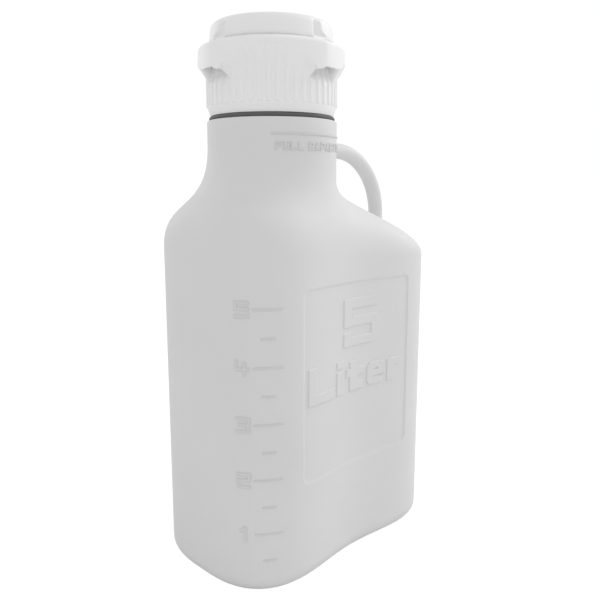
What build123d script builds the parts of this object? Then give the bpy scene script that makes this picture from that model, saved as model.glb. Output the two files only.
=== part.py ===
from build123d import *
import os
from math import copysign, cos, exp, hypot, pi, radians, sin

# A five-litre wide-mouth plastic jug with a loop handle and a two-piece screw closure.
# Millimetres, +Z up. The origin is the centre of the base. The front of the jug, where the neck
# stands, faces -Y, the loop handle is at the back, +Y, and the jug is the same left and right.

os.makedirs("parts", exist_ok=True)

# --- Body: heights, and reaches from the neck's axis in plan
front_reach = 80.2          # neck axis to the front wall
back_reach = 136.2          # neck axis to the back wall
wide_half = 75.6            # half width that the sides would have without their waist
waist_depth = 14.8          # how much each side is drawn in at the waist
waist_back = 36.2           # neck axis back to the narrowest place
waist_spread = 69.9         # length scale of the waist along the side
front_power = 2.93          # superellipse powers: a rounded front and a squarer back
rear_power = 3.54
base_radius = 14.0          # rounding between the wall and the floor
base_dish = 2.0             # how far the floor's middle is raised off the table
foot_inset = 26.0           # the dish stays this far inside the wall
wall = 2.2                  # moulded wall thickness
floor_height = base_dish + wall
front_heights = (329.4, 274.3, 290.4, 250.6)    # shoulder curve in front, neck end to wall end
back_heights = (293.8, 283.0, 259.3, 237.2)     # the same at the back, where it slopes down
outline_count = 48          # points on one section of the body
shoulder_levels = (228, 233, 238, 243, 248, 254, 260, 267, 275, 284, 294, 305, 317, 325, 331)

# --- Neck and screw finish
neck_radius = 49.35
ledge_height = 343.3        # flat ledge on top of the wide neck
rim_height = 391.0          # sealing rim at the top of the finish
finish_radius = 39.3        # outside of the finish between its threads
mouth_radius = 36.3
level_height = 332.6        # raised full-level line round the right side of the neck
level_turns = (47.0, 133.0) # where it starts and ends, in degrees round from the front

# --- Thread: one right-hand start, 83 mm over the crests
thread_pitch = 6.0
thread_turns = 1.5
thread_start = 366.0        # height at which the jug's ridge starts
crest_radius = 41.5
ridge_width = 2.6           # width of a ridge at its root, along the axis
crest_width = 1.4
thread_sink = 0.4           # how far a ridge is sunk into the wall that carries it
thread_gap = 0.3            # clearance between the two ridges along the axis
collar_crest = 40.6         # crest of the collar's ridge, clear of the finish

# --- Handle: a round rod from the neck back and down to the shoulder
handle_radius = 6.4
handle_height = 324.4       # where its centre line leaves the neck
bend_radius = 54.0
handle_back = 126.4         # neck axis back to the rod's upright stretch
handle_foot = 240.0

# --- Marks on the wall
mark_step = 20.52           # height of half a litre
first_mark = 213.1 - 9 * mark_step
mark_proud = 0.6
mark_height = 1.1
mark_count = 10
mark_skin_margin = 10.0     # the skin that trims the marks runs this far past the first and last
major_turns = (36.0, 54.0)  # where long and short marks lie round the front corner, in degrees
minor_turns = (41.0, 49.5)
digit_turn = 29.0
digit_width, digit_height = 7.5, 9.0
digit_stroke = 1.9
digit_lines = {             # strokes of each numeral, in a box one unit wide and high
    1: [[(0.25, 0.8), (0.6, 1), (0.6, 0)]],
    2: [[(0, 1), (1, 1), (1, 0.52), (0, 0.52), (0, 0), (1, 0)]],
    3: [[(0, 1), (1, 1), (1, 0), (0, 0)], [(0.2, 0.52), (1, 0.52)]],
    4: [[(0, 1), (0, 0.42), (1, 0.42)], [(0.7, 0.85), (0.7, 0)]],
    5: [[(1, 1), (0, 1), (0, 0.55), (1, 0.55), (1, 0), (0, 0)]],
}
panel_low, panel_high = 80.0, 223.5
panel_front, panel_back = -30.5, 92.0
panel_corner = 7.0
panel_depth = 0.9

beyond = 5.0                # how far a cutting block runs past what it cuts

# --- Closure: a screw collar that holds a closed cap insert and its gasket down on the rim
ring_radius = 47.7          # dark seat ring on the ledge
ring_height = 3.0
collar_low = 346.6          # lower edge of the collar
rim_radius, rim_top = 47.7, 397.5
skirt_low_radius = 46.6
skirt_radius = 48.7
band_height = 353.0         # smooth band under the ribs
bore_radius = 42.1          # bore round the thread crests
lip_radius = 38.4           # hole in the collar's top lip
lip_low = 394.3
flange_low, flange_top = 377.6, 395.0
flange_chamfer = 1.2        # on the flange's upper outer edge
rim_slope_radius = 54.0     # the top slopes up to the rim inside this radius
face_radius = 55.3          # neck axis to the middle of one of the flange's four bowed faces
corner_radius = 59.0        # neck axis to the corners between them
face_bow = 71.7             # radius of each bowed face
slope_high = 384.5          # the middle of a face slopes in to the skirt under this height
slope_half = 22.0
web_low = 371.0             # foot of the webs that carry the flange
web_half_angle = 31.0
web_reach = 4.0             # how far the webs stand out of the skirt where they meet the flange
bore_margin = 1.0           # outer forms start this far outside the bore, which is cut last
rib_count = 48
rib_proud, rib_width = 0.8, 2.6
face_rib_top = 388.0
face_rib_angle = 17.0       # ribs climb the faces this far either side of their middles
gasket_height = 2.0
gasket_gap = 0.3            # the gasket stays this far inside the rim's edges and the thread
insert_flange_radius = 41.6
insert_flange_top = 394.0
insert_waist_radius = 38.0
insert_low = 397.9          # underside of the part of the insert that shows
insert_radius = 46.5        # its side, drawn in to the rounded edge of a flat top
insert_low_side = 400.5
insert_side_radius = 45.2
insert_side_top = 406.0
insert_edge_radius = 38.5
insert_top = 413.2
insert_wall = 3.0
notch_radius = 42.2         # four scooped notches round the insert's side
notch_size = 6.5

shoulder_foot = shoulder_levels[0]      # all walls are upright below this height
neck_join = shoulder_levels[-1]         # the shoulder has become a plain cylinder here
neck_y = -(back_reach - front_reach) / 2
neck_axis = Axis((0, neck_y, 0), (0, 0, 1))
neck_section = Plane((0, neck_y, 0), x_dir=(1, 0, 0), z_dir=(0, -1, 0))


def neck_plane(height):
    return Plane((0, neck_y, height))


def wall_point(turn):
    """Point on the body's wall, from the neck's axis. turn is 0 in front and pi at the back."""
    reach = (front_reach + back_reach) / 2
    along, across = cos(turn), sin(turn)
    power = 2 / (rear_power + (front_power - rear_power) * (1 + along) / 2)
    y = (back_reach - front_reach) / 2 - copysign(reach * abs(along) ** power, along)
    half = wide_half - waist_depth * exp(-(((y - waist_back) / waist_spread) ** 2))
    return copysign(half * abs(across) ** power, across), y


def wall_normal(turn):
    step = 0.002
    x0, y0 = wall_point(turn - step)
    x1, y1 = wall_point(turn + step)
    size = hypot(x1 - x0, y1 - y0)
    return (y1 - y0) / size, (x0 - x1) / size


def shoulder_share(height, backness):
    """How far from the neck (0) to the wall (1) the shoulder has come at this height."""
    ends = [f + (b - f) * backness for f, b in zip(front_heights, back_heights)]
    if height >= ends[0]:
        return 0.0
    if height <= ends[3]:
        return 1.0
    low, high = 0.0, 1.0
    for _ in range(30):
        t = (low + high) / 2
        weights = ((1 - t) ** 3, 3 * t * (1 - t) ** 2, 3 * t * t * (1 - t), t**3)
        if sum(w * e for w, e in zip(weights, ends)) > height:
            low = t
        else:
            high = t
    return low * low * (3 - 2 * low)


def body_ring(height, inset=0.0):
    """Points of the body's outline at a height, drawn in by inset."""
    points = []
    for i in range(outline_count):
        turn = 2 * pi * (i + 0.5) / outline_count
        x, y = wall_point(turn)
        nx, ny = wall_normal(turn)
        far = hypot(x, y)
        share = shoulder_share(height, (1 + y / far) / 2)
        x, y = x - inset * nx, y - inset * ny
        far_in = hypot(x, y)
        near_x, near_y = x / far_in * (neck_radius - inset), y / far_in * (neck_radius - inset)
        points.append((near_x + (x - near_x) * share, near_y + (y - near_y) * share))
    return points


def body_face(height, inset=0.0):
    """The face inside the outline of that height. Drawn in by inset, it also lies that much lower,
    so that the wall keeps its thickness where it slopes."""
    with BuildSketch(neck_plane(height - inset)) as face:
        with BuildLine():
            Spline(*body_ring(height, inset), periodic=True)
        make_face()
    return face.sketch


def body_form(floor, inset):
    """The jug's solid form from its floor to the ledge: its outside, or with an inset its inside."""
    with BuildPart() as form:
        extrude(body_face(floor + inset, inset), amount=shoulder_foot - inset - floor)
        fillet(form.edges().group_by(Axis.Z)[0], base_radius - floor)
        loft([body_face(height, inset) for height in shoulder_levels])
        extrude(body_face(neck_join, inset), amount=ledge_height - neck_join)
    return form.part


def neck_tube(low, high, inner, outer):
    """A plain ring round the neck's axis."""
    with BuildPart() as tube:
        with BuildSketch(neck_plane(low)):
            Circle(outer)
            Circle(inner, mode=Mode.SUBTRACT)
        extrude(amount=high - low)
    return tube.part


def sector(middle, half, reach, low, high):
    """A pie slice round the neck's axis; angles in degrees, counter-clockwise from +X."""
    with BuildPart() as slice_block:
        with BuildSketch(neck_plane(low)):
            with BuildLine():
                ends = [
                    (reach * cos(radians(angle)), reach * sin(radians(angle)))
                    for angle in (middle - half, middle + half)
                ]
                Polyline((0, 0), *ends, close=True)
            make_face()
        extrude(amount=high - low)
    return slice_block.part


def thread_ridge(root, crest, start_height):
    """One turn and a half of helical ridge, from its root radius to its crest radius."""
    path_radius = root - copysign(thread_sink, crest - root)
    rise = crest - path_radius
    with BuildPart() as ridge:
        with BuildLine(neck_plane(start_height)):
            Helix(thread_pitch, thread_pitch * thread_turns, path_radius)
        start = Plane((path_radius, neck_y, start_height), x_dir=(1, 0, 0), z_dir=(0, -1, 0))
        with BuildSketch(start):
            with BuildLine():
                Polyline(
                    (0, -ridge_width / 2),
                    (rise, -crest_width / 2),
                    (rise, crest_width / 2),
                    (0, ridge_width / 2),
                    close=True,
                )
            make_face()
        sweep(is_frenet=True)
    return ridge.part


def wall_skin(low, high, outside, inside):
    """A shell that follows the upright walls, from outside their surface to inside it."""
    with BuildPart() as skin:
        extrude(body_face(low, -outside).moved(Location((0, 0, -outside))), amount=high - low)
        inner_face = body_face(low, inside).moved(Location((0, 0, inside)))
        extrude(inner_face, amount=high - low, mode=Mode.SUBTRACT)
    return skin.part


def corner_wedge(turns, low, high):
    """A block over the wall between two turns round the front right corner."""
    (x0, y0), (x1, y1) = (wall_point(radians(turn)) for turn in turns)
    reach = 1.2     # the block's far side lies outside the wall, which bulges past the chord
    with BuildPart() as wedge:
        with BuildSketch(neck_plane(low)):
            with BuildLine():
                Polyline((0, 0), (x0 * reach, y0 * reach), (x1 * reach, y1 * reach), close=True)
            make_face()
        extrude(amount=high - low)
    return wedge.part


def scale_marks():
    """Raised lines for each half litre, longer for whole litres, with their numerals."""
    last_mark = first_mark + (mark_count - 1) * mark_step
    skin_low, skin_high = first_mark - mark_skin_margin, last_mark + mark_skin_margin
    skin = wall_skin(skin_low, skin_high, mark_proud, mark_proud)
    x, y = wall_point(radians(digit_turn))
    nx, ny = wall_normal(radians(digit_turn))
    with BuildPart() as marks:
        for i in range(mark_count):
            low = first_mark + i * mark_step - mark_height / 2
            add(corner_wedge(major_turns if i % 2 else minor_turns, low, low + mark_height))
        for litre, strokes in digit_lines.items():
            height = first_mark + (2 * litre - 1) * mark_step
            face = Plane((x + nx, y + ny + neck_y, height), x_dir=(-ny, nx, 0), z_dir=(nx, ny, 0))
            with BuildSketch(face):
                for stroke in strokes:
                    corners = [((u - 0.5) * digit_width, (v - 0.5) * digit_height) for u, v in stroke]
                    with BuildLine():
                        Polyline(*corners)
                    trace(line_width=digit_stroke)
            extrude(amount=-beyond)
        add(skin, mode=Mode.INTERSECT)
    return marks.part


def panel_cutter():
    """What is taken off a side wall to sink its label panel."""
    side = Plane((0, neck_y, 0), x_dir=(0, 1, 0), z_dir=(1, 0, 0))
    with BuildPart() as cutter:
        with BuildSketch(side):
            with Locations(((panel_front + panel_back) / 2, (panel_low + panel_high) / 2)):
                RectangleRounded(panel_back - panel_front, panel_high - panel_low, panel_corner)
        extrude(amount=wide_half + beyond)
        add(wall_skin(panel_low - beyond, panel_high + beyond, 1.0, panel_depth), mode=Mode.INTERSECT)
    return cutter.part


def level_line():
    """The raised line round the right side of the neck that shows the full level."""
    start, end = level_turns
    low = level_height - mark_height / 2
    band = neck_tube(low, low + mark_height, neck_radius - mark_proud, neck_radius + mark_proud)
    return band & sector((start + end) / 2 - 90, (end - start) / 2, 2 * neck_radius, low, low + mark_height)


# --- The jug: hollow blow-moulded body, neck finish with its thread, and the loop handle in one piece
with BuildPart() as bottle:
    add(body_form(0, 0))
    with BuildLine(Plane((0, neck_y, 0), x_dir=(0, 1, 0), z_dir=(1, 0, 0))) as handle_line:
        start = (neck_radius - wall, handle_height)
        bend = (handle_back - bend_radius, handle_height)
        Line(start, bend)
        JernArc(bend, (1, 0), bend_radius, -90)
        Line((handle_back, handle_height - bend_radius), (handle_back, handle_foot))
    handle_start = (0, neck_y + neck_radius - wall, handle_height)
    with BuildSketch(Plane(handle_start, x_dir=(1, 0, 0), z_dir=(0, 1, 0))):
        Circle(handle_radius)
    sweep(path=handle_line.wires()[0])
    add(body_form(floor_height, wall), mode=Mode.SUBTRACT)
    extrude(body_face(foot_inset, foot_inset), amount=base_dish, mode=Mode.SUBTRACT)
    add(neck_tube(ledge_height - wall, rim_height, mouth_radius, finish_radius))
    with BuildSketch(neck_plane(ledge_height - 2 * wall)):
        Circle(mouth_radius)
    extrude(amount=2 * wall + 1, mode=Mode.SUBTRACT)
    add(thread_ridge(finish_radius, crest_radius, thread_start))
    cutter = panel_cutter()
    add(cutter, mode=Mode.SUBTRACT)
    add(cutter.mirror(Plane.YZ), mode=Mode.SUBTRACT)
    add(scale_marks())
    add(level_line())

bottle.part.label = "bottle"
export_step(bottle.part, "parts/bottle.step")

# --- Seat ring on the ledge, round the foot of the finish
neck_ring = neck_tube(ledge_height, ledge_height + ring_height, finish_radius, ring_radius)
neck_ring.label = "neck_ring"
export_step(neck_ring, "parts/neck_ring.step")


def neck_revolve(points):
    """A turned form round the neck's axis, from its section as (radius, height) points."""
    with BuildPart() as turned:
        with BuildSketch(neck_section):
            with BuildLine():
                Polyline(*points, close=True)
            make_face()
        revolve(axis=neck_axis)
    return turned.part


def collar_flange():
    """The four-faced flange, its corners on the X and Y directions and its faces between them."""
    corners = [(corner_radius * cos(pi / 2 * i), corner_radius * sin(pi / 2 * i)) for i in range(5)]
    slope_reach = corner_radius + 0.3
    with BuildPart() as flange:
        with BuildSketch(neck_plane(flange_low)):
            with BuildLine():
                for start, end in zip(corners, corners[1:]):
                    RadiusArc(start, end, -face_bow)
            make_face()
        extrude(amount=flange_top - flange_low)
        chamfer(flange.faces().sort_by(Axis.Z)[-1].edges(), flange_chamfer)
        for i in range(4):
            across, along = cos(pi / 4 + pi / 2 * i), sin(pi / 4 + pi / 2 * i)
            face_middle = Plane((0, neck_y, 0), x_dir=(across, along, 0), z_dir=(along, -across, 0))
            with BuildSketch(face_middle):
                with BuildLine():
                    Polyline(
                        (skirt_radius, flange_low),
                        (slope_reach, slope_high + slope_reach - face_radius),
                        (slope_reach, flange_low),
                        close=True,
                    )
                make_face()
            extrude(amount=slope_half, both=True, mode=Mode.SUBTRACT)
    return flange.part


def collar_ribs():
    """Upright grip ribs; the ones in the middle of each face climb on up the face."""
    root = bore_radius + bore_margin
    with BuildPart() as ribs:
        for i in range(rib_count):
            angle = 360 / rib_count * i
            off_face = abs((angle % 90) - 45)
            top = face_rib_top if off_face < face_rib_angle else flange_low
            x_dir = (cos(radians(angle)), sin(radians(angle)), 0)
            with BuildSketch(Plane((0, neck_y, band_height), x_dir=x_dir, z_dir=(0, 0, 1))):
                with Locations(((root + corner_radius) / 2, 0)):
                    Rectangle(corner_radius - root, rib_width)
            extrude(amount=top - band_height)
        outer = skirt_radius + rib_proud
        envelope = neck_revolve(
            [
                (0, band_height),
                (outer, band_height),
                (outer, flange_low),
                (face_radius + rib_proud, slope_high),
                (face_radius + rib_proud, face_rib_top),
                (0, face_rib_top),
            ]
        )
        add(envelope, mode=Mode.INTERSECT)
    return ribs.part


# --- Screw collar
with BuildPart() as cap_collar:
    add(
        neck_revolve(
            [
                (bore_radius, collar_low),
                (skirt_low_radius, collar_low),
                (skirt_radius, band_height),
                (skirt_radius, flange_top),
                (rim_slope_radius, flange_top),
                (rim_radius, rim_top),
                (lip_radius, rim_top),
                (lip_radius, lip_low),
                (bore_radius, lip_low),
            ]
        )
    )
    add(collar_flange())
    web = [
        (bore_radius + bore_margin, web_low),
        (skirt_radius, web_low),
        (skirt_radius + web_reach, flange_low),
        (bore_radius + bore_margin, flange_low),
    ]
    for i in range(4):
        slice_block = sector(45 + 90 * i, web_half_angle, 2 * corner_radius, web_low, flange_low)
        add(neck_revolve(web) & slice_block)
    add(collar_ribs())
    with BuildSketch(neck_plane(collar_low)):
        Circle(bore_radius)
    extrude(amount=lip_low - collar_low, mode=Mode.SUBTRACT)
    with BuildSketch(neck_plane(collar_low)):
        Circle(lip_radius)
    extrude(amount=rim_top - collar_low, mode=Mode.SUBTRACT)
    add(thread_ridge(bore_radius, collar_crest, thread_start - ridge_width - thread_gap))

cap_collar.part.label = "cap_collar"
export_step(cap_collar.part, "parts/cap_collar.step")

# --- Gasket between the rim and the insert
seat = rim_height + gasket_height
cap_gasket = neck_tube(rim_height, seat, mouth_radius + gasket_gap, crest_radius - gasket_gap)
cap_gasket.label = "cap_gasket"
export_step(cap_gasket, "parts/cap_gasket.step")

# --- Closed insert: it is snapped through the collar's lip, and turns freely in it
inner_side = insert_waist_radius - insert_wall
with BuildPart() as cap_insert:
    with BuildSketch(neck_section):
        with BuildLine():
            Polyline(
                (insert_edge_radius, insert_top),
                (0, insert_top),
                (0, insert_top - insert_wall),
                (inner_side, insert_top - insert_wall),
                (inner_side, seat),
                (insert_flange_radius, seat),
                (insert_flange_radius, insert_flange_top),
                (insert_waist_radius, insert_flange_top),
                (insert_waist_radius, insert_low),
                (insert_radius, insert_low),
                (insert_radius, insert_low_side),
                (insert_side_radius, insert_side_top),
            )
            edge_start = (insert_side_radius, insert_side_top)
            lean = (insert_side_radius - insert_radius, insert_side_top - insert_low_side)
            TangentArc(edge_start, (insert_edge_radius, insert_top), tangent=lean)
        make_face()
    revolve(axis=neck_axis)
    with BuildSketch(neck_plane(insert_low_side)):
        with PolarLocations(notch_radius + notch_size, 4):
            Circle(notch_size)
    extrude(amount=insert_top - insert_low, mode=Mode.SUBTRACT)

cap_insert.part.label = "cap_insert"
export_step(cap_insert.part, "parts/cap_insert.step")
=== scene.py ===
"""Looks for the five-litre wide-mouth jug: moulded body, closure, stage and camera.

Metres, +Z up, in the frame's own axes. Lengths written in millimetres are scaled by MM.
"""

import math

import bmesh
import bpy
import numpy as np
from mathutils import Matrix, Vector
from mathutils.bvhtree import BVHTree


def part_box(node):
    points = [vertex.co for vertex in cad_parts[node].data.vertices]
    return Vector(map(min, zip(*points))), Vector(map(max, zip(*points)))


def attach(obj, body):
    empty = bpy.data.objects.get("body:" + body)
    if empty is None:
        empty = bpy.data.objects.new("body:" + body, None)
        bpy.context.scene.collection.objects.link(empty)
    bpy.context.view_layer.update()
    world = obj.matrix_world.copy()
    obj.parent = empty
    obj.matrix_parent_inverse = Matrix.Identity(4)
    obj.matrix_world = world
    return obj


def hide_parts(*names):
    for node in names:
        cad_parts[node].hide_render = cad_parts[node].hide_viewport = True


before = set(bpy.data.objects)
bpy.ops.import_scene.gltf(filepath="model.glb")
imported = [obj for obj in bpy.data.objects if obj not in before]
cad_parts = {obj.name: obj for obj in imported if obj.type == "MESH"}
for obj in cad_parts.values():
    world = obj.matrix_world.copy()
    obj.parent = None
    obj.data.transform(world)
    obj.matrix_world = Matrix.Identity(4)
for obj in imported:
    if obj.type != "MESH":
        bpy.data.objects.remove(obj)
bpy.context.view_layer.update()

MM = 0.001
TAU = 2 * math.pi

# --- Places read from the frame
ring_low, ring_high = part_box("neck_ring")
collar_low, collar_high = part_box("cap_collar")
insert_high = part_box("cap_insert")[1]
gasket_low, gasket_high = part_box("cap_gasket")
bottle_low, bottle_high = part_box("bottle")

NECK = np.array([(ring_low[0] + ring_high[0]) / 2, (ring_low[1] + ring_high[1]) / 2])
LEDGE = ring_low[2]                     # flat ledge that the seat ring lies on
RIM = bottle_high[2]                    # sealing rim of the mouth
FRONT_REACH = NECK[1] - bottle_low[1]   # neck axis to the front wall
BACK_REACH = bottle_high[1] - NECK[1]   # neck axis to the back wall

# --- Body shape, the same curves as the frame's
WIDE_HALF = 75.58 * MM
WAIST_DEPTH = 14.8 * MM
WAIST_BACK = 36.2 * MM
WAIST_SPREAD = 69.9 * MM
FRONT_POWER, REAR_POWER = 2.93, 3.54
FRONT_HEIGHTS = np.array([329.4, 274.3, 290.4, 250.6]) * MM
BACK_HEIGHTS = np.array([293.8, 283.0, 259.3, 237.2]) * MM
BASE_RADIUS = 14.0 * MM
NECK_RADIUS = 49.35 * MM
WALL = 2.2 * MM
FLOOR = 4.2 * MM
DISH_DEPTH, DISH_INSET = 2.0 * MM, 26.0 * MM
FINISH_RADIUS, MOUTH_RADIUS = 39.3 * MM, 36.3 * MM
CREST_RADIUS, THREAD_START, THREAD_PITCH, THREAD_TURNS = 41.5 * MM, 366 * MM, 6 * MM, 1.5

PANEL_LOW, PANEL_HIGH = 80.0 * MM, 223.5 * MM
PANEL_FRONT, PANEL_BACK = -30.5 * MM, 92.0 * MM
PANEL_CORNER, PANEL_DEPTH, PANEL_EDGE = 5.5 * MM, 0.9 * MM, 1.1 * MM


def smooth(x):
    """Soft step from 0 to 1 as x goes from 0 to 1."""
    x = np.clip(x, 0.0, 1.0)
    return x * x * (3 - 2 * x)


def wall_point(turn):
    """Plan point on the wall from the neck's axis; turn is 0 in front and half a circle behind."""
    along, across = np.cos(turn), np.sin(turn)
    power = 2 / (REAR_POWER + (FRONT_POWER - REAR_POWER) * (1 + along) / 2)
    reach = (FRONT_REACH + BACK_REACH) / 2
    y = (BACK_REACH - FRONT_REACH) / 2 - reach * np.sign(along) * np.abs(along) ** power
    half = WIDE_HALF - WAIST_DEPTH * np.exp(-(((y - WAIST_BACK) / WAIST_SPREAD) ** 2))
    return np.stack([half * np.sign(across) * np.abs(across) ** power, y], -1)


def wall_normal(turn):
    step = 0.002
    ahead = wall_point(turn + step) - wall_point(turn - step)
    normal = np.stack([ahead[..., 1], -ahead[..., 0]], -1)
    return normal / np.linalg.norm(normal, axis=-1, keepdims=True)


def turns_evenly(weights=None, count=300):
    """Turns that divide the outline evenly, or more finely where weights(plan point) is high."""
    fine = np.linspace(0, TAU, 20001)
    points = wall_point(fine)
    steps = np.linalg.norm(np.diff(points, axis=0), axis=1)
    if weights is not None:
        steps = steps * weights((points[1:] + points[:-1]) / 2)
    run = np.concatenate([[0], np.cumsum(steps)])
    return np.interp(np.linspace(0, run[-1], count, endpoint=False), run, fine)


def shoulder_ends(turn):
    plan = wall_point(turn)
    backness = (1 + plan[..., 1] / np.linalg.norm(plan, axis=-1)) / 2
    return FRONT_HEIGHTS + (BACK_HEIGHTS - FRONT_HEIGHTS) * backness[..., None]


def shoulder_height(turn, s):
    """Height of the shoulder curve; s runs from 0 at the neck to 1 at the wall."""
    weights = np.stack([(1 - s) ** 3, 3 * s * (1 - s) ** 2, 3 * s * s * (1 - s), s**3], -1)
    return (shoulder_ends(turn) * weights).sum(-1)


def plan_at(turn, s, inset):
    """Plan point between the neck (s = 0) and the wall (s = 1), drawn in by inset."""
    wall = wall_point(turn) - inset * wall_normal(turn)
    direction = wall / np.linalg.norm(wall, axis=-1, keepdims=True)
    neck = direction * (NECK_RADIUS - inset)
    return neck + (wall - neck) * (s * s * (3 - 2 * s))[..., None]


def panel_mask(points):
    """1 inside a side's label panel, 0 outside it, with soft edges and rounded corners."""
    y = points[..., 1] - NECK[1]
    centre = np.array([(PANEL_FRONT + PANEL_BACK) / 2, (PANEL_LOW + PANEL_HIGH) / 2])
    half = np.array([PANEL_BACK - PANEL_FRONT, PANEL_HIGH - PANEL_LOW]) / 2 - PANEL_CORNER
    away = np.abs(np.stack([y, points[..., 2]], -1) - centre) - half
    outside = np.linalg.norm(np.maximum(away, 0), axis=-1)
    distance = outside + np.minimum(away.max(-1), 0) - PANEL_CORNER
    on_side = np.abs(points[..., 0]) > 40 * MM
    return smooth(0.5 - distance / PANEL_EDGE) * on_side


def new_mesh(name, points, faces, body, smooth_angle=None):
    mesh = bpy.data.meshes.new(name)
    mesh.from_pydata(np.asarray(points).reshape(-1, 3).tolist(), [], [list(f) for f in faces])
    mesh.validate()
    sculpt = bmesh.new()
    sculpt.from_mesh(mesh)
    bmesh.ops.recalc_face_normals(sculpt, faces=sculpt.faces)
    sculpt.to_mesh(mesh)
    sculpt.free()
    mesh.polygons.foreach_set("use_smooth", [True] * len(mesh.polygons))
    piece = bpy.data.objects.new(name, mesh)
    bpy.context.scene.collection.objects.link(piece)
    if smooth_angle is not None:
        mesh.set_sharp_from_angle(angle=math.radians(smooth_angle))
    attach(piece, body)
    return piece


def ring_faces(rows, columns, closed_rows=False):
    """Quads between successive closed rings of points."""
    faces = []
    last = rows if closed_rows else rows - 1
    for i in range(last):
        a, b = i * columns, (i + 1) % rows * columns
        for j in range(columns):
            k = (j + 1) % columns
            faces.append((a + j, a + k, b + k, b + j))
    return faces


def build_bottle():
    """One closed skin: base, outside, neck finish, rim, and the inside down to the floor."""
    edges = np.array([PANEL_FRONT, PANEL_BACK])

    def weights(plan):
        near = np.abs(plan[:, 1, None] - edges).min(1) < 9 * MM
        return np.where(near & (np.abs(plan[:, 0]) > 40 * MM), 3.2, 1.0)

    turn = turns_evenly(weights, 340)
    normal = wall_normal(turn)
    wall = wall_point(turn)
    rings = []

    def ring(plan, height):
        plan = np.broadcast_to(plan, (len(turn), 2)) + NECK
        rings.append(np.column_stack([plan, np.broadcast_to(height, len(turn))]))

    foot = wall - BASE_RADIUS * normal
    middle = np.array([0.0, (BACK_REACH - FRONT_REACH) / 2])
    for share in (0.02, 0.25, 0.5, 0.75):
        ring(middle + (wall - DISH_INSET * normal - middle) * share, DISH_DEPTH)
    for step in np.linspace(0, 1, 7):
        ring(wall - (DISH_INSET - 5 * MM * step) * normal, DISH_DEPTH * (1 - smooth(step)))
    for a in np.linspace(math.pi / 2, 0, 14):
        ring(foot + BASE_RADIUS * math.cos(a) * normal, BASE_RADIUS * (1 - math.sin(a)))
    heights = [BASE_RADIUS]
    while heights[-1] < 232 * MM:
        near = min(abs(heights[-1] - PANEL_LOW), abs(heights[-1] - PANEL_HIGH))
        heights.append(heights[-1] + (0.8 * MM if near < 9 * MM else 3.2 * MM))
    for height in heights[1:]:
        points = np.column_stack([wall + NECK, np.full(len(turn), height)])
        ring(wall - (PANEL_DEPTH * panel_mask(points))[:, None] * normal, height)
    for s in np.linspace(1, 0, 44):
        s = np.full(len(turn), s)
        ring(plan_at(turn, s, 0.0), shoulder_height(turn, s))
    neck_end = shoulder_height(turn, np.zeros(len(turn)))
    direction = wall / np.linalg.norm(wall, axis=1, keepdims=True)
    for share in (0.25, 0.5, 0.75, 1.0):
        ring(direction * NECK_RADIUS, neck_end + (LEDGE - 1.4 * MM - neck_end) * share)
    FLANGE_ROUND = 1.2 * MM
    for a in np.linspace(0, math.pi / 2, 6)[1:]:
        out = NECK_RADIUS - FLANGE_ROUND * (1 - math.cos(a))
        ring(direction * out, LEDGE - FLANGE_ROUND * (1 - math.sin(a)))
    for radius, height in (
        (FINISH_RADIUS + 0.8 * MM, LEDGE),
        (FINISH_RADIUS + 0.2 * MM, LEDGE + 0.2 * MM),
        (FINISH_RADIUS, LEDGE + 0.8 * MM),
        (FINISH_RADIUS, RIM - 0.9 * MM),
        (FINISH_RADIUS - 0.25 * MM, RIM - 0.25 * MM),
        (FINISH_RADIUS - 0.9 * MM, RIM),
        (MOUTH_RADIUS + 0.9 * MM, RIM),
        (MOUTH_RADIUS + 0.25 * MM, RIM - 0.25 * MM),
        (MOUTH_RADIUS, RIM - 0.9 * MM),
        (MOUTH_RADIUS, LEDGE - WALL + 1 * MM),
        (MOUTH_RADIUS + 1 * MM, LEDGE - WALL),
        (NECK_RADIUS - WALL - 2 * MM, LEDGE - WALL),
        (NECK_RADIUS - WALL, LEDGE - WALL - 2 * MM),
    ):
        ring(direction * radius, height)
    for s in np.linspace(0, 1, 20):
        s = np.full(len(turn), s)
        ring(plan_at(turn, s, WALL), shoulder_height(turn, s) - WALL)
    for height in (200 * MM, 120 * MM, 40 * MM):
        points = np.column_stack([wall + NECK, np.full(len(turn), height)])
        ring(wall - (WALL + PANEL_DEPTH * panel_mask(points))[:, None] * normal, height)
    inner_radius = BASE_RADIUS - WALL
    for a in np.linspace(0, math.pi / 2, 7):
        inset = WALL + inner_radius * (1 - math.cos(a))
        ring(wall - inset * normal, FLOOR + inner_radius * (1 - math.sin(a)))
    for share in (0.6, 0.3, 0.02):
        ring(middle + (wall - (WALL + inner_radius) * normal - middle) * share, FLOOR)
    rows, columns = len(rings), len(turn)
    faces = ring_faces(rows, columns)
    faces.append(tuple(range(columns - 1, -1, -1)))
    last = (rows - 1) * columns
    faces.append(tuple(last + j for j in range(columns)))
    return new_mesh("bottle_body", np.concatenate(rings), faces, "jug")


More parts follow.
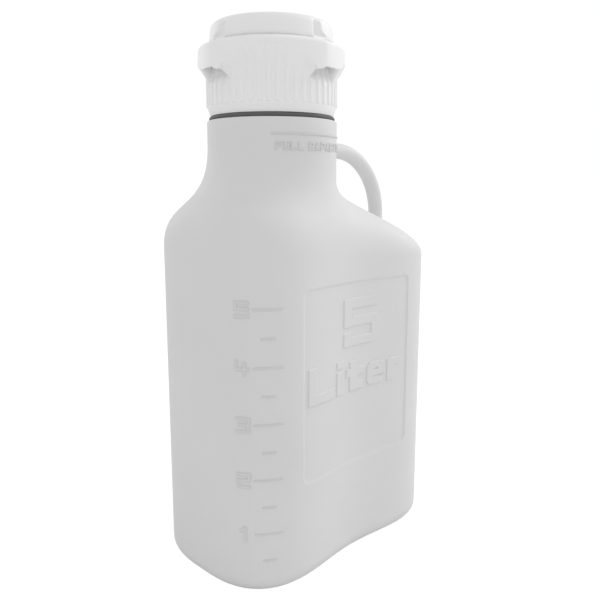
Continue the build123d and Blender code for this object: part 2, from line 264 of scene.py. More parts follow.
def shell_material(name, colour, roughness, grain, grain_size, subsurface=0.0):
    """Moulded plastic: faint cloudiness in the colour, fine grain, uneven gloss."""
    material = bpy.data.materials.new(name)
    material.use_nodes = True
    nodes, links = material.node_tree.nodes, material.node_tree.links
    nodes.clear()
    out = nodes.new("ShaderNodeOutputMaterial")
    shader = nodes.new("ShaderNodeBsdfPrincipled")
    links.new(shader.outputs["BSDF"], out.inputs["Surface"])
    place = nodes.new("ShaderNodeTexCoord")
    cloud = nodes.new("ShaderNodeTexNoise")
    cloud.inputs["Scale"].default_value = 14
    cloud.inputs["Detail"].default_value = 3
    links.new(place.outputs["Object"], cloud.inputs["Vector"])
    tint = nodes.new("ShaderNodeValToRGB")
    tint.color_ramp.elements[0].position = 0.3
    tint.color_ramp.elements[1].position = 0.7
    tint.color_ramp.elements[0].color = [c * 0.975 for c in colour] + [1]
    tint.color_ramp.elements[1].color = list(colour) + [1]
    links.new(cloud.outputs["Fac"], tint.inputs["Fac"])
    links.new(tint.outputs["Color"], shader.inputs["Base Color"])
    fine = nodes.new("ShaderNodeTexNoise")
    fine.inputs["Scale"].default_value = grain_size
    fine.inputs["Detail"].default_value = 4
    links.new(place.outputs["Object"], fine.inputs["Vector"])
    gloss = nodes.new("ShaderNodeMapRange")
    gloss.inputs["To Min"].default_value = roughness - 0.05
    gloss.inputs["To Max"].default_value = roughness + 0.07
    links.new(fine.outputs["Fac"], gloss.inputs["Value"])
    links.new(gloss.outputs["Result"], shader.inputs["Roughness"])
    bump = nodes.new("ShaderNodeBump")
    bump.inputs["Strength"].default_value = grain
    bump.inputs["Distance"].default_value = 0.0004
    links.new(fine.outputs["Fac"], bump.inputs["Height"])
    links.new(bump.outputs["Normal"], shader.inputs["Normal"])
    shader.inputs["Subsurface Weight"].default_value = subsurface
    shader.inputs["Subsurface Radius"].default_value = (1.0, 1.0, 1.0)
    shader.inputs["Subsurface Scale"].default_value = 0.003
    shader.inputs["IOR"].default_value = 1.5
    shader.inputs["Specular IOR Level"].default_value = 0.25
    return material


def dress(piece, material):
    piece.data.materials.clear()
    piece.data.materials.append(material)


def lathe(name, profile, columns, body):
    """A closed turned form round the neck's axis, from its section as (radius, height) points."""
    angles = np.arange(columns) * TAU / columns
    rings = [
        np.column_stack([NECK[0] + r * np.cos(angles), NECK[1] + r * np.sin(angles), np.full(columns, z)])
        for r, z in profile
    ]
    faces = ring_faces(len(rings), columns, closed_rows=True)
    return new_mesh(name, np.concatenate(rings), faces, body)


def rounded_box(low, high, inner, outer, edge):
    """Section of a ring with small rounded edges, counter-clockwise from its inner lower corner."""
    section = []
    for r, z, start in (
        (inner + edge, low + edge, 180),
        (outer - edge, low + edge, 270),
        (outer - edge, high - edge, 0),
        (inner + edge, high - edge, 90),
    ):
        for step in range(5):
            a = math.radians(start + 22.5 * step)
            section.append((r + edge * math.cos(a), z + edge * math.sin(a)))
    return section


def helix(name, root, crest, start, body):
    """A screw ridge of one and a half turns, with tapered ends, sunk a little into its wall."""
    count = 260
    turned = np.linspace(0, TAU * THREAD_TURNS, count)
    fade = smooth(np.minimum(turned, turned[-1] - turned) / math.radians(14))
    sign = math.copysign(1, crest - root)
    points = []
    for side, out in ((-1.3, 0), (-1.0, 0.55), (-0.7, 1), (0.7, 1), (1.0, 0.55), (1.3, 0)):
        r = root - sign * 0.4 * MM + (crest - root + sign * 0.4 * MM) * out * fade
        z = start + THREAD_PITCH * turned / TAU + side * MM
        points.append(np.stack([NECK[0] + r * np.cos(turned), NECK[1] + r * np.sin(turned), z], -1))
    points = np.stack(points, 1)
    faces = []
    for i in range(count - 1):
        for j in range(6):
            k = (j + 1) % 6
            quad = (i * 6 + j, (i + 1) * 6 + j, (i + 1) * 6 + k, i * 6 + k)
            faces.append(quad if sign > 0 else quad[::-1])
    ends = [tuple(range(6)), tuple((count - 1) * 6 + j for j in range(5, -1, -1))]
    faces += ends if sign > 0 else [end[::-1] for end in ends]
    return new_mesh(name, points, faces, body, 50)


# --- Handle
HANDLE_RADIUS, HANDLE_HEIGHT = 6.4 * MM, 324.4 * MM
BEND_RADIUS, HANDLE_BACK = 54 * MM, 126.4 * MM
FLARE_NECK, FLARE_FOOT = 4.5 * MM, 2.4 * MM


def build_handle(skin):
    """The round rod from the neck to the shoulder, flared where it grows out of them."""
    tree = BVHTree.FromPolygons([v.co for v in skin.data.vertices], [p.vertices for p in skin.data.polygons])
    columns = 56
    angles = np.arange(columns) * TAU / columns
    back = NECK[1]

    def landing(origin, direction):
        return tree.ray_cast(Vector(origin), Vector(direction))[0]

    rings = []
    neck_side, foot_side = [], []
    for a in angles:
        across, up = math.cos(a), math.sin(a)
        rows = []
        near = back + 70 * MM
        edge = landing((across * HANDLE_RADIUS, near, HANDLE_HEIGHT + up * HANDLE_RADIUS), (0, -1, 0))
        wide = HANDLE_RADIUS + FLARE_NECK
        rim = landing((across * wide, near, HANDLE_HEIGHT + up * wide), (0, -1, 0))
        ahead = Vector((edge.x, edge.y + FLARE_NECK, edge.z))
        inner = Vector((rim.x * 0.98, rim.y - 0.8 * MM, rim.z))
        rows.append(inner)
        for t in np.linspace(0, 1, 9):
            rows.append((1 - t) ** 2 * rim + 2 * t * (1 - t) * edge + t * t * ahead)
        neck_side.append(rows)
        across, out = math.cos(a), math.sin(a)
        rows = []
        middle = back + HANDLE_BACK
        edge = landing((across * HANDLE_RADIUS, middle + out * HANDLE_RADIUS, 0.3), (0, 0, -1))
        wide = HANDLE_RADIUS + FLARE_FOOT
        rim = landing((across * wide, middle + out * wide, 0.3), (0, 0, -1))
        ahead = Vector((edge.x, edge.y, edge.z + FLARE_FOOT * 1.6))
        for t in np.linspace(0, 1, 9):
            rows.append((1 - t) ** 2 * ahead + 2 * t * (1 - t) * edge + t * t * rim)
        rows.append(Vector((rim.x, rim.y, rim.z - 0.8 * MM)))
        foot_side.append(rows)
    for i in range(len(neck_side[0])):
        rings.append([tuple(rows[i]) for rows in neck_side])
    bend_start = HANDLE_BACK - BEND_RADIUS
    for bend in np.linspace(0, math.pi / 2, 49):
        centre = Vector((
            0,
            back + bend_start + BEND_RADIUS * math.sin(bend),
            HANDLE_HEIGHT - BEND_RADIUS * (1 - math.cos(bend)),
        ))
        up = Vector((0, math.sin(bend), math.cos(bend)))
        rings.append([
            tuple(centre + HANDLE_RADIUS * (Vector((1, 0, 0)) * math.cos(a) + up * math.sin(a)))
            for a in angles
        ])
    for i in range(len(foot_side[0])):
        rings.append([tuple(rows[i]) for rows in foot_side])
    faces = [face[::-1] for face in ring_faces(len(rings), columns)]
    faces.append(tuple(range(columns)))
    last = (len(rings) - 1) * columns
    faces.append(tuple(last + j for j in range(columns - 1, -1, -1)))
    return new_mesh("bottle_handle", np.array(rings), faces, "jug", 60)


# --- Raised marks: shapes in millimetres as signed distances, below zero inside
def box_shape(u, v, u0, v0, u1, v1, corner=0.0):
    away_u = np.abs(u - (u0 + u1) / 2) - (u1 - u0) / 2 + corner
    away_v = np.abs(v - (v0 + v1) / 2) - (v1 - v0) / 2 + corner
    outside = np.hypot(np.maximum(away_u, 0), np.maximum(away_v, 0))
    return outside + np.minimum(np.maximum(away_u, away_v), 0) - corner


def bar_shape(u, v, start, end, half):
    """A square-ended bar of this half width from start to end."""
    du, dv = end[0] - start[0], end[1] - start[1]
    length = math.hypot(du, dv)
    along = ((u - start[0]) * du + (v - start[1]) * dv) / length
    across = ((v - start[1]) * du - (u - start[0]) * dv) / length
    return box_shape(along, across, -half, -half, length + half, half, 0.3 * half)


WORD_SPACE = 0.5        # share of a sign's pitch that a space takes
LETTERS = {     # strokes of each sign, in a box one unit wide and high
    "1": [[(0.25, 0.8), (0.6, 1), (0.6, 0)]],
    "2": [[(0, 1), (1, 1), (1, 0.52), (0, 0.52), (0, 0), (1, 0)]],
    "3": [[(0, 1), (1, 1), (1, 0), (0, 0)], [(0.2, 0.52), (1, 0.52)]],
    "4": [[(0, 1), (0, 0.42), (1, 0.42)], [(0.7, 0.85), (0.7, 0)]],
    "5": [[(1, 1), (0, 1), (0, 0.55), (1, 0.55), (1, 0), (0, 0)]],
    "F": [[(1, 1), (0, 1), (0, 0)], [(0, 0.53), (0.85, 0.53)]],
    "U": [[(0, 1), (0, 0), (1, 0), (1, 1)]],
    "L": [[(0, 1), (0, 0), (1, 0)]],
    "C": [[(1, 0.8), (1, 1), (0, 1), (0, 0), (1, 0), (1, 0.2)]],
    "A": [[(0, 0), (0.5, 1), (1, 0)], [(0.2, 0.32), (0.8, 0.32)]],
    "P": [[(0, 0), (0, 1), (1, 1), (1, 0.47), (0, 0.47)]],
    "I": [[(0.5, 1), (0.5, 0)]],
    "T": [[(0, 1), (1, 1)], [(0.5, 1), (0.5, 0)]],
    "Y": [[(0, 1), (0.5, 0.5), (1, 1)], [(0.5, 0.5), (0.5, 0)]],
}


def text_shape(text, width, height, half, pitch):
    """The signed distance of a line of signs whose first box starts at the origin."""
    bars = []
    place = 0.0
    for sign in text:
        for stroke in LETTERS.get(sign, []):
            for a, b in zip(stroke, stroke[1:]):
                bars.append(((place + a[0] * width, a[1] * height), (place + b[0] * width, b[1] * height)))
        place += pitch * (WORD_SPACE if sign == " " else 1)

    def distance(u, v):
        return np.minimum.reduce([bar_shape(u, v, start, end, half) for start, end in bars])

    return distance


def relief(name, distance, reach, step, edge, proud, place, body):
    """A raised closed form over a surface: flat on top inside the shape, sloping down round its edge.
    place(u, v, h) gives points h millimetres off the surface."""
    u0, u1, v0, v1 = reach
    u = np.arange(u0, u1 + step, step)
    v = np.arange(v0, v1 + step, step)
    u, v = np.meshgrid(u, v)
    gap = distance(u, v)
    h = -0.2 + (proud + 0.2) * smooth(1 - gap / edge)
    kept = gap < edge
    cell = kept[:-1, :-1] | kept[1:, :-1] | kept[:-1, 1:] | kept[1:, 1:]
    rows, columns = u.shape
    top = place(u.ravel(), v.ravel(), h.ravel())
    under = place(u.ravel(), v.ravel(), np.full(u.size, -0.7))
    total = rows * columns
    faces, sides = [], {}
    for i, j in zip(*np.nonzero(cell)):
        a, b, c, d = i * columns + j, i * columns + j + 1, (i + 1) * columns + j + 1, (i + 1) * columns + j
        faces.append((a, b, c, d))
        faces.append((d + total, c + total, b + total, a + total))
        for edge_pair in ((a, b), (b, c), (c, d), (d, a)):
            back = (edge_pair[1], edge_pair[0])
            if back in sides:
                del sides[back]
            else:
                sides[edge_pair] = True
    for a, b in sides:
        faces.append((b, a, a + total, b + total))
    used = sorted({index for face in faces for index in face})
    new_index = {index: i for i, index in enumerate(used)}
    points = np.concatenate([top, under])[used]
    faces = [[new_index[index] for index in face] for face in faces]
    return new_mesh(name, points, faces, body, 70)


FINE_TURNS = np.linspace(0, math.pi, 8001)
FINE_WALL = wall_point(FINE_TURNS)
FINE_RUN = np.concatenate([[0], np.cumsum(np.linalg.norm(np.diff(FINE_WALL, axis=0), axis=1))])


def on_wall_from(turn_start):
    """Places marks by arc length from a turn round the right-hand wall, and by height."""
    start = np.interp(math.radians(turn_start), FINE_TURNS, FINE_RUN)

    def place(u, v, h):
        turn = np.interp(start + u * MM, FINE_RUN, FINE_TURNS)
        plan = wall_point(turn) + (h * MM)[:, None] * wall_normal(turn) + NECK
        return np.column_stack([plan, v * MM])

    return place


def on_panel(u, v, h):
    """Places marks on the right-hand label panel: u is back from the neck's axis, v is height."""
    inner = FINE_WALL[:, 1] > -60 * MM
    turn = np.interp(u * MM, FINE_WALL[inner, 1], FINE_TURNS[inner])
    plan = wall_point(turn) + (h * MM - PANEL_DEPTH)[:, None] * wall_normal(turn) + NECK
    return np.column_stack([plan, v * MM])


def on_neck(u, v, h):
    """Places marks on the neck's right side: u is arc length back from the side's middle."""
    turn = math.pi / 2 + u * MM / NECK_RADIUS
    radius = NECK_RADIUS + h * MM
    return np.column_stack([NECK[0] + radius * np.sin(turn), NECK[1] - radius * np.cos(turn), v * MM])


MARK_STEP, FIRST_MARK = 20.52, 213.1 - 9 * 20.52
MAJOR_TURNS, MINOR_TURNS, DIGIT_TURN = (36.0, 54.0), (41.0, 49.5), 29.0
DIGIT_WIDTH, DIGIT_HEIGHT, DIGIT_HALF = 8.2, 9.4, 1.1
MARK_PROUD, MARK_EDGE = 0.7, 0.4
LEVEL_HEIGHT, LEVEL_HALF_ANGLE = 331.6, 43.0


def wall_run(turn_a, turn_b):
    return float(np.ptp(np.interp(np.radians([turn_a, turn_b]), FINE_TURNS, FINE_RUN))) / MM


def build_marks():
    made = []
    for i in range(10):
        turns = MAJOR_TURNS if i % 2 else MINOR_TURNS
        length = wall_run(*turns)
        height = FIRST_MARK + i * MARK_STEP

        def line(u, v):
            return box_shape(u, v, 0, height - 0.55, length, height + 0.55, 0.3)

        reach = (-1, length + 1, height - 1.5, height + 1.5)
        place = on_wall_from(turns[0])
        made.append(relief(f"scale_line_{i + 1}", line, reach, 0.25, MARK_EDGE, MARK_PROUD, place, "jug"))
    for litre in range(1, 6):
        height = FIRST_MARK + (2 * litre - 1) * MARK_STEP
        left, low = -DIGIT_WIDTH / 2, height - DIGIT_HEIGHT / 2
        sign = text_shape(str(litre), DIGIT_WIDTH, DIGIT_HEIGHT, DIGIT_HALF, 0)

        def numeral(u, v):
            return sign(u - left, v - low)

        reach = (left - 2, -left + 2, low - 2, low + DIGIT_HEIGHT + 2)
        place = on_wall_from(DIGIT_TURN)
        made.append(relief(f"numeral_{litre}", numeral, reach, 0.25, MARK_EDGE, MARK_PROUD, place, "jug"))

    half = LEVEL_HALF_ANGLE * math.pi / 180 * NECK_RADIUS / MM

    def level(u, v):
        return box_shape(u, v, -half, LEVEL_HEIGHT - 0.55, half, LEVEL_HEIGHT + 0.55, 0.3)

    reach = (-half - 1, half + 1, LEVEL_HEIGHT - 1.5, LEVEL_HEIGHT + 1.5)
    made.append(relief("level_line", level, reach, 0.3, MARK_EDGE, MARK_PROUD, on_neck, "jug"))
    words = text_shape("FULL CAPACITY", 3.4, 4.7, 0.5, 5.6)
    first = -(11.5 * 5.6 + 3.4) / 2

    def level_words(u, v):
        return words(u - first, v - 320.9)

    reach = (first - 1.5, -first + 1.5, 319, 327.5)
    made.append(relief("level_words", level_words, reach, 0.2, 0.35, 0.7, on_neck, "jug"))

    boxes = (
        (16.3, 203.2, 55.8, 210.7), (16.3, 189.2, 25.0, 210.7), (16.3, 174.1, 24.6, 184.5),
    )

    def five(u, v):
        bowl = box_shape(u, v, 23.5, 174.1, 58.0, 196.6, 6.5)
        inside = box_shape(u, v, 10.0, 180.6, 49.4, 189.4, 2.0)
        low_bar = box_shape(u, v, 16.3, 174.1, 45.0, 180.6, 0.3)
        solid = np.minimum(np.maximum(bowl, -inside), low_bar)
        for box in boxes:
            solid = np.minimum(solid, box_shape(u, v, *box, 0.4))
        return solid

    made.append(relief("capacity_five", five, (14, 60, 172, 213), 0.4, 0.7, 0.8, on_panel, "jug"))

    def word(u, v):
        shapes = [
            box_shape(u, v, -25.8, 138.0, -17.0, 165.3, 0.4), box_shape(u, v, -25.8, 138.0, 4.8, 145.0, 0.4),
            box_shape(u, v, 7.8, 138.0, 16.0, 155.8, 0.4), box_shape(u, v, 7.8, 158.6, 16.0, 163.6, 0.4),
            box_shape(u, v, 24.4, 138.0, 32.8, 161.2, 0.4), box_shape(u, v, 20.0, 149.8, 41.6, 155.8, 0.4),
            box_shape(u, v, 24.4, 138.0, 41.6, 144.4, 1.8),
            box_shape(u, v, 68.6, 138.0, 76.8, 155.8, 0.4),
        ]
        letter_e = box_shape(u, v, 45.4, 138.0, 65.4, 156.2, 4.5)
        letter_e = np.maximum(letter_e, -box_shape(u, v, 53.2, 149.4, 58.2, 151.4, 0.9))
        letter_e = np.maximum(letter_e, -box_shape(u, v, 53.2, 143.2, 70.0, 145.2, 0.9))
        arm = box_shape(u, v, 68.6, 149.8, 85.0, 156.2, 3.0)
        shapes += [letter_e, arm, box_shape(u, v, 68.6, 149.8, 76.8, 155.8, 0.4)]
        return np.minimum.reduce(shapes)

    made.append(relief("capacity_word", word, (-28, 87, 136, 167), 0.4, 0.7, 0.8, on_panel, "jug"))
    return made


# --- Closure
COLLAR_LOW, COLLAR_TOP = collar_low[2], collar_high[2]
SKIRT, SKIRT_FOOT, BAND = 48.7, 46.6, 353.0
BORE, LIP = 42.1, 38.4
FACE_MIDDLE, FACE_BOW = 54.9, 64.7
FLANGE_TOP, FLANGE_ROUND = 395.0, 2.6
RIBS, RIB_PROUD, RIB_HALF = 48, 0.9, 1.7


def face_radius(off):
    """Radius of the flange's bowed faces; off is the angle from a face's middle, in degrees."""
    eased = 45 - np.sqrt((45 - np.abs(off)) ** 2 + 1.0)
    a = np.radians(eased)
    shift = FACE_MIDDLE - FACE_BOW
    return shift * np.cos(a) + np.sqrt(FACE_BOW**2 - (shift * np.sin(a)) ** 2)


# Lower edge of the flange, as (angle from a face's middle, height): where the face ends, and where it
# meets the skirt. Two faces run smoothly down into the skirt, and the two between them end in a web.
APRON_CREST = ((0, 391.0), (20, 389.0), (28, 386.0), (33, 381.0), (37, 375.5), (41, 375.6), (45, 377.8))
APRON_FOOT = ((0, 366.0), (20, 367.0), (30, 368.6), (34.5, 369.6), (45, 377.6))
WEB_CREST = ((0, 384.5), (10, 383.8), (18, 380.5), (24, 378.2), (27.7, 377.8), (45, 377.7))
WEB_FOOT = ((0, 377.8), (8, 376.5), (16, 372.8), (22, 369.6), (25.4, 368.2), (28.2, 377.6), (45, 377.6))
POCKET_DEPTH = 2.0      # how far the skirt is sunk under the flange's corners
POCKET_HEIGHT, POCKET_WALL = 7.0, 2.6       # the flange's corners are hollow from below, inside this wall


def turned_mesh(name, rows, angle, body):
    """A closed surface round the neck's axis from rows of radius and height, one of each per angle."""
    turn = np.radians(angle)
    points = np.concatenate([
        np.column_stack([NECK[0] + r * MM * np.cos(turn), NECK[1] + r * MM * np.sin(turn), z * MM])
        for r, z in rows
    ])
    return new_mesh(name, points, ring_faces(len(rows), len(angle), closed_rows=True), body, 50)


def build_collar():
    """The ribbed collar, from its lower edge up the outside, over the lip and down the bore."""
    columns = 720
    angle = np.arange(columns) * 360 / columns
    off = (angle % 90) - 45
    away = np.abs(off)
    apron = (angle // 90).astype(int) % 2 == 1
    rib_off = (angle + 180 / RIBS) % (360 / RIBS) - 180 / RIBS
    rib = np.clip(1 - (np.radians(rib_off) * SKIRT / RIB_HALF) ** 2, 0, 1) ** 0.6
    flange = face_radius(off)

    def edge(points_apron, points_web):
        return np.where(apron, np.interp(away, *zip(*points_apron)), np.interp(away, *zip(*points_web)))

    foot = edge(APRON_FOOT, WEB_FOOT)
    crest = np.maximum(edge(APRON_CREST, WEB_CREST), foot)
    sharp = np.where(apron, smooth((away - 31) / 6), smooth((away - 8) / 14))
    face_rib = 1 - smooth((away - 16.2) / 1.8)
    rib_share = np.where(apron, 0.55, 0.4)      # how much of the ribs stands out of a face
    rows = []

    def row(radius, height):
        rows.append([np.broadcast_to(value, columns).astype(float) for value in (radius, height)])

    low = COLLAR_LOW / MM
    for a in np.linspace(-90, 0, 5):
        turn = math.radians(a)
        row(SKIRT_FOOT - 0.5 + 0.5 * math.cos(turn), low + 0.5 + 0.5 * math.sin(turn))
    for share in np.linspace(0, 1, 6)[1:]:
        row(SKIRT_FOOT + (SKIRT - SKIRT_FOOT) * share ** 0.9, low + 0.5 + (BAND - low - 0.5) * share)
    for share, grow in ((0.0, 0.0), (0.25, 0.45), (0.5, 0.8), (1.0, 1.0)):
        row(SKIRT + RIB_PROUD * rib * grow, BAND + 0.1 + 1.1 * share)
    open_side = np.where(apron, smooth((away - 34) / 5), smooth((away - 26) / 4))
    roof = foot + POCKET_HEIGHT * open_side
    for share in np.linspace(0, 1, 17)[1:]:
        height = BAND + 1.2 + (roof - BAND - 1.2) * share
        sunk = POCKET_DEPTH * open_side * smooth((height - 367.5) / 8)
        row(SKIRT - sunk + RIB_PROUD * rib, height)
    root = SKIRT - POCKET_DEPTH * open_side
    lining = flange - POCKET_WALL
    for share in np.linspace(0, 1, 19)[1:]:
        soft = smooth(share)
        grow = soft + (share - soft) * sharp
        fade = 1 - (1 - face_rib * rib_share) * smooth(share / 0.5)
        solid_radius = root + (flange - root) * grow
        solid_height = foot + (crest - foot) * share
        hollow_radius = np.interp(share, (0, 0.45, 0.8, 1), (0, 1, 1, 1)) * (lining - root) + root
        hollow_radius = hollow_radius + (flange - lining) * np.interp(share, (0.8, 1), (0, 1))
        hollow_height = roof + (crest - roof) * np.interp(share, (0.45, 0.8), (0, 1))
        radius = solid_radius + (hollow_radius - solid_radius) * open_side
        height = solid_height + (hollow_height - solid_height) * open_side
        row(radius + RIB_PROUD * rib * fade, height)
    for share in np.linspace(0, 1, 11)[1:]:
        height = crest + (FLANGE_TOP - FLANGE_ROUND - crest) * share
        fade = face_rib * rib_share * (1 - smooth((height - 384.5) / 6))
        row(flange + RIB_PROUD * rib * fade, height)
    slope = math.atan2(COLLAR_TOP / MM - FLANGE_TOP, 56.0 - 47.7)
    for a in np.linspace(0, math.pi / 2 - slope, 9)[1:]:
        row(flange - FLANGE_ROUND * (1 - math.cos(a)), FLANGE_TOP - FLANGE_ROUND * (1 - math.sin(a)))
    inner = flange - FLANGE_ROUND * (1 - math.cos(math.pi / 2 - slope))
    start = FLANGE_TOP - FLANGE_ROUND * (1 - math.sin(math.pi / 2 - slope))
    top = COLLAR_TOP / MM
    for share in np.linspace(0, 1, 6)[1:]:
        row(inner + (48.6 - inner) * share, start + (top - 0.35 - start) * share ** 1.15)
    for radius, height in (
        (48.45, top - 0.12), (48.2, top), (47.6, top), (47.35, top - 0.12), (47.1, top - 0.5),
        (46.7, top - 0.7), (43, top - 0.7), (LIP + 0.4, top - 0.7), (LIP, top - 1.1),
        (LIP, 394.6), (LIP + 0.3, 394.3), (BORE, 394.3),
        (BORE, 380), (BORE, 360), (BORE, low + 0.6), (BORE + 0.6, low),
    ):
        row(radius, height)
    return turned_mesh("collar_shell", rows, angle, "collar")


INSERT_LOW, INSERT_RADIUS = 397.9, 46.5
SIDE_LOW, SIDE_HIGH, SIDE_LEAN = 400.5, 408.2, 0.8      # the side leans in by this much on its way up
CROWN_RADIUS = 41.6                                     # where the rounded edge meets the flat top
NOTCH_DEPTH, NOTCH_TOP_REACH, NOTCH_FOOT_REACH = 2.9, 7.4, 13.0     # reaches in degrees


def build_insert():
    """The closed insert: four notches, each with one straight and one scooped edge, and hollow below."""
    columns = 480
    angle = np.arange(columns) * 360 / columns
    quarter = (angle + 45) % 90 - 45
    aside = np.where(((angle + 45) // 90).astype(int) % 2 == 0, quarter, -quarter)
    low, top = INSERT_LOW, insert_high[2] / MM
    arc_start = np.array([INSERT_RADIUS - SIDE_LEAN, SIDE_HIGH])
    direction = arc_start - np.array([INSERT_RADIUS, SIDE_LOW])
    direction /= np.linalg.norm(direction)
    arc_end = np.array([CROWN_RADIUS, top])
    chord = arc_end - arc_start
    normal = np.array([-direction[1], direction[0]])
    radius = chord @ chord / (2 * chord @ normal)
    centre = arc_start + normal * radius
    first = math.atan2(*(arc_start - centre)[::-1])
    last = math.atan2(*(arc_end - centre)[::-1])
    outline = [(INSERT_RADIUS - 0.6, low), (INSERT_RADIUS - 0.2, low + 0.15), (INSERT_RADIUS, low + 0.6)]
    outline += [
        (INSERT_RADIUS - SIDE_LEAN * t, SIDE_LOW + (SIDE_HIGH - SIDE_LOW) * t) for t in np.linspace(0, 1, 12)
    ]
    for a in np.linspace(first, last, 18)[1:]:
        outline.append(tuple(centre + radius * np.array([math.cos(a), math.sin(a)])))
    outline += [(40.4, top), (36, top), (30, top), (20, top), (10, top), (0.05, top)]
    rows = []
    for r, z in outline:
        reach = NOTCH_TOP_REACH + NOTCH_FOOT_REACH * (1 - smooth((z - 398.3) / 6.5)) ** 1.3
        far_side = np.clip(1 - (np.maximum(aside, 0) / reach) ** 1.8, 0, 1)
        scoop = np.where(aside < 0, 1 - smooth((-aside - 0.6) / 3.0), far_side)
        depth = NOTCH_DEPTH * smooth((z - 397.6) / 3.4) * smooth((412.2 - z) / 6.0)
        floor_radius = r - depth * scoop * (1 if r > 36 else 0)
        rows.append((np.broadcast_to(floor_radius, columns).astype(float), np.full(columns, z)))
    for r, z in ((0.05, top - 3), (34.5, top - 3), (35, top - 3.5), (35, 393.4), (35.4, 393), (41.2, 393),
                 (41.6, 393.4), (41.6, 393.7), (41.3, 394), (38.3, 394), (38, 394.3), (38, low - 0.3),
                 (38.3, low)):
        rows.append((np.full(columns, r), np.full(columns, z)))
    return turned_mesh("insert_cap", rows, angle, "insert")


bottle_plastic = shell_material("bottle_plastic", (0.72, 0.72, 0.72), 0.55, 0.1, 900, 0.0)
# The small raised marks are the bottle's plastic painted a shade darker: painted shade standing in for the
# shading round relief too small to cast it.
mark_plastic = shell_material("mark_plastic", (0.665, 0.665, 0.665), 0.6, 0.1, 900, 0.0)
cap_plastic = shell_material("cap_plastic", (0.88, 0.88, 0.88), 0.45, 0.06, 1500, 0.0)
# The seat ring on the ledge is near black, as dark as the band in the gap between the collar and the neck.
ring_rubber = shell_material("ring_rubber", (0.115, 0.115, 0.115), 0.6, 0.1, 1200)
gasket_rubber = shell_material("gasket_rubber", (0.6, 0.6, 0.59), 0.4, 0.05, 1200, 0.2)

bottle = build_bottle()
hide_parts("bottle")
handle = build_handle(bottle)
bottle_thread = helix("bottle_thread", FINISH_RADIUS, CREST_RADIUS, THREAD_START, "jug")
jug_pieces = [bottle, handle, bottle_thread]
marks = build_marks()
small = ("scale_line", "numeral", "level_words", "level_line")
for piece in jug_pieces + [mark for mark in marks if not mark.name.startswith(small)]:
    dress(piece, bottle_plastic)
# Scale lines, numerals and the level line and words get the darker painted-shade material.
for piece in [mark for mark in marks if mark.name.startswith(small)]:
    dress(piece, mark_plastic)

collar = build_collar()
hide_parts("cap_collar")
insert = build_insert()
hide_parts("cap_insert")
collar_thread = helix("collar_thread", BORE * MM, 40.6 * MM, THREAD_START - 2.9 * MM, "collar")
for piece in (collar, insert, collar_thread):
    dress(piece, cap_plastic)

ring_section = rounded_box(ring_low[2], ring_high[2], FINISH_RADIUS + 0.1 * MM, 47.7 * MM, 1.25 * MM)
seat_ring = lathe("seat_ring", ring_section, 256, "jug")
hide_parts("neck_ring")
dress(seat_ring, ring_rubber)
gasket_section = rounded_box(gasket_low[2], gasket_high[2], 36.6 * MM, 41.2 * MM, 0.4 * MM)
gasket = lathe("rim_gasket", gasket_section, 192, "insert")
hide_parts("cap_gasket")
dress(gasket, gasket_rubber)


SURROUND = 0.83         # brightness of the room as the jug sees it
ROOM_SEEN, FLOOR_SEEN, FLOOR_SEEN_SHARE = 1.02, 1.1, 0.88   # and as the camera sees it


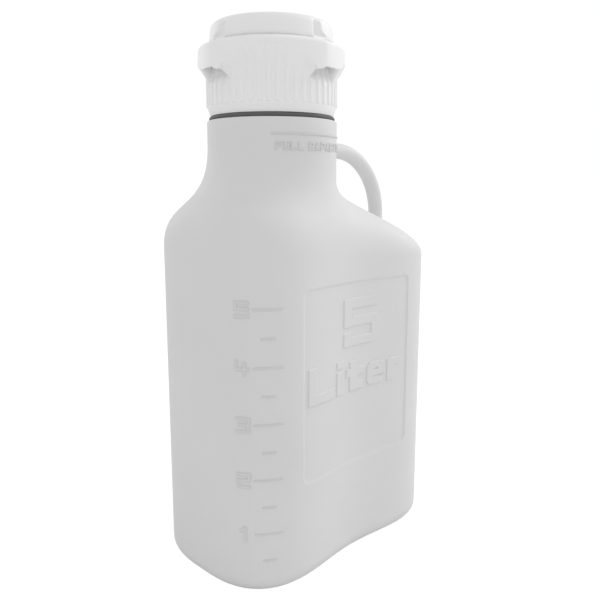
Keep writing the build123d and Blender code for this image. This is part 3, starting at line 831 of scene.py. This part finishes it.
def stage():
    """A wide pale floor and an even pale surround. Seen directly both are a little whiter than they shine."""
    mesh = bpy.data.meshes.new("floor")
    reach = 30.0
    corners = [(-reach, -reach, 0), (reach, -reach, 0), (reach, reach, 0), (-reach, reach, 0)]
    mesh.from_pydata(corners, [], [(0, 1, 2, 3)])
    floor = bpy.data.objects.new("floor", mesh)
    bpy.context.scene.collection.objects.link(floor)
    material = bpy.data.materials.new("floor_paint")
    material.use_nodes = True
    nodes, links = material.node_tree.nodes, material.node_tree.links
    shader = nodes["Principled BSDF"]
    shader.inputs["Base Color"].default_value = (0.86, 0.86, 0.86, 1)
    shader.inputs["Roughness"].default_value = 0.9
    shader.inputs["Specular IOR Level"].default_value = 0.2
    glow = nodes.new("ShaderNodeEmission")
    glow.inputs["Color"].default_value = (1, 1, 1, 1)
    glow.inputs["Strength"].default_value = FLOOR_SEEN
    path = nodes.new("ShaderNodeLightPath")
    share = nodes.new("ShaderNodeMath")
    share.operation = "MULTIPLY"
    share.inputs[1].default_value = FLOOR_SEEN_SHARE
    links.new(path.outputs["Is Camera Ray"], share.inputs[0])
    both = nodes.new("ShaderNodeMixShader")
    links.new(share.outputs["Value"], both.inputs["Fac"])
    links.new(shader.outputs["BSDF"], both.inputs[1])
    links.new(glow.outputs["Emission"], both.inputs[2])
    links.new(both.outputs["Shader"], nodes["Material Output"].inputs["Surface"])
    mesh.materials.append(material)
    world = bpy.data.worlds.new("surround")
    bpy.context.scene.world = world
    world.use_nodes = True
    nodes, links = world.node_tree.nodes, world.node_tree.links
    background = nodes["Background"]
    background.inputs["Color"].default_value = (1, 1, 1, 1)
    path = nodes.new("ShaderNodeLightPath")
    level = nodes.new("ShaderNodeMapRange")
    level.inputs["To Min"].default_value = SURROUND
    level.inputs["To Max"].default_value = ROOM_SEEN
    links.new(path.outputs["Is Camera Ray"], level.inputs["Value"])
    links.new(level.outputs["Result"], background.inputs["Strength"])


def area_light(name, place, aim, size, power):
    """A round soft light at a place, turned towards its aim."""
    data = bpy.data.lights.new(name, "AREA")
    data.shape = "DISK"
    data.size = size
    data.energy = power
    light = bpy.data.objects.new(name, data)
    light.location = place
    light.rotation_euler = (Vector(aim) - Vector(place)).to_track_quat("-Z", "Y").to_euler()
    bpy.context.scene.collection.objects.link(light)


# --- Viewpoint: its direction, lens, and place from the neck's axis in metres
AZIMUTH, PITCH = math.radians(45.478), math.radians(9.848)
LENS, DISTANCE, ASIDE, EYE_HEIGHT = 39.858, 0.52356, 0.02129, 0.29639
RIGHT = np.array([math.cos(AZIMUTH), math.sin(AZIMUTH)])
AHEAD = np.array([-math.sin(AZIMUTH), math.cos(AZIMUTH)])
KEY_POWER, RIM_POWER = 13, 3           # watts


def view_place(right, ahead, height):
    """A place in the room, from the neck's axis, to the viewer's right and away from them."""
    spot = NECK + RIGHT * right + AHEAD * ahead
    return spot[0], spot[1], height


def camera():
    """The viewpoint: ahead of the jug's front right corner, a little below the shoulder."""
    spot = NECK - AHEAD * DISTANCE + RIGHT * ASIDE
    data = bpy.data.cameras.new("camera")
    data.sensor_width = 36
    data.lens = LENS
    eye_object = bpy.data.objects.new("camera", data)
    eye_object.location = (spot[0], spot[1], EYE_HEIGHT)
    look = Vector((AHEAD[0] * math.cos(PITCH), AHEAD[1] * math.cos(PITCH), -math.sin(PITCH)))
    eye_object.rotation_euler = look.to_track_quat("-Z", "Y").to_euler()
    bpy.context.scene.collection.objects.link(eye_object)
    bpy.context.scene.camera = eye_object


stage()
bpy.context.scene.view_settings.view_transform = "Standard"
area_light("back_right", view_place(1.5, 0.85, 1.35), (0, 0, 0.25), 1.0, KEY_POWER)
area_light("back_left", view_place(-1.35, 1.3, 0.9), (0, 0, 0.25), 1.0, RIM_POWER)
camera()
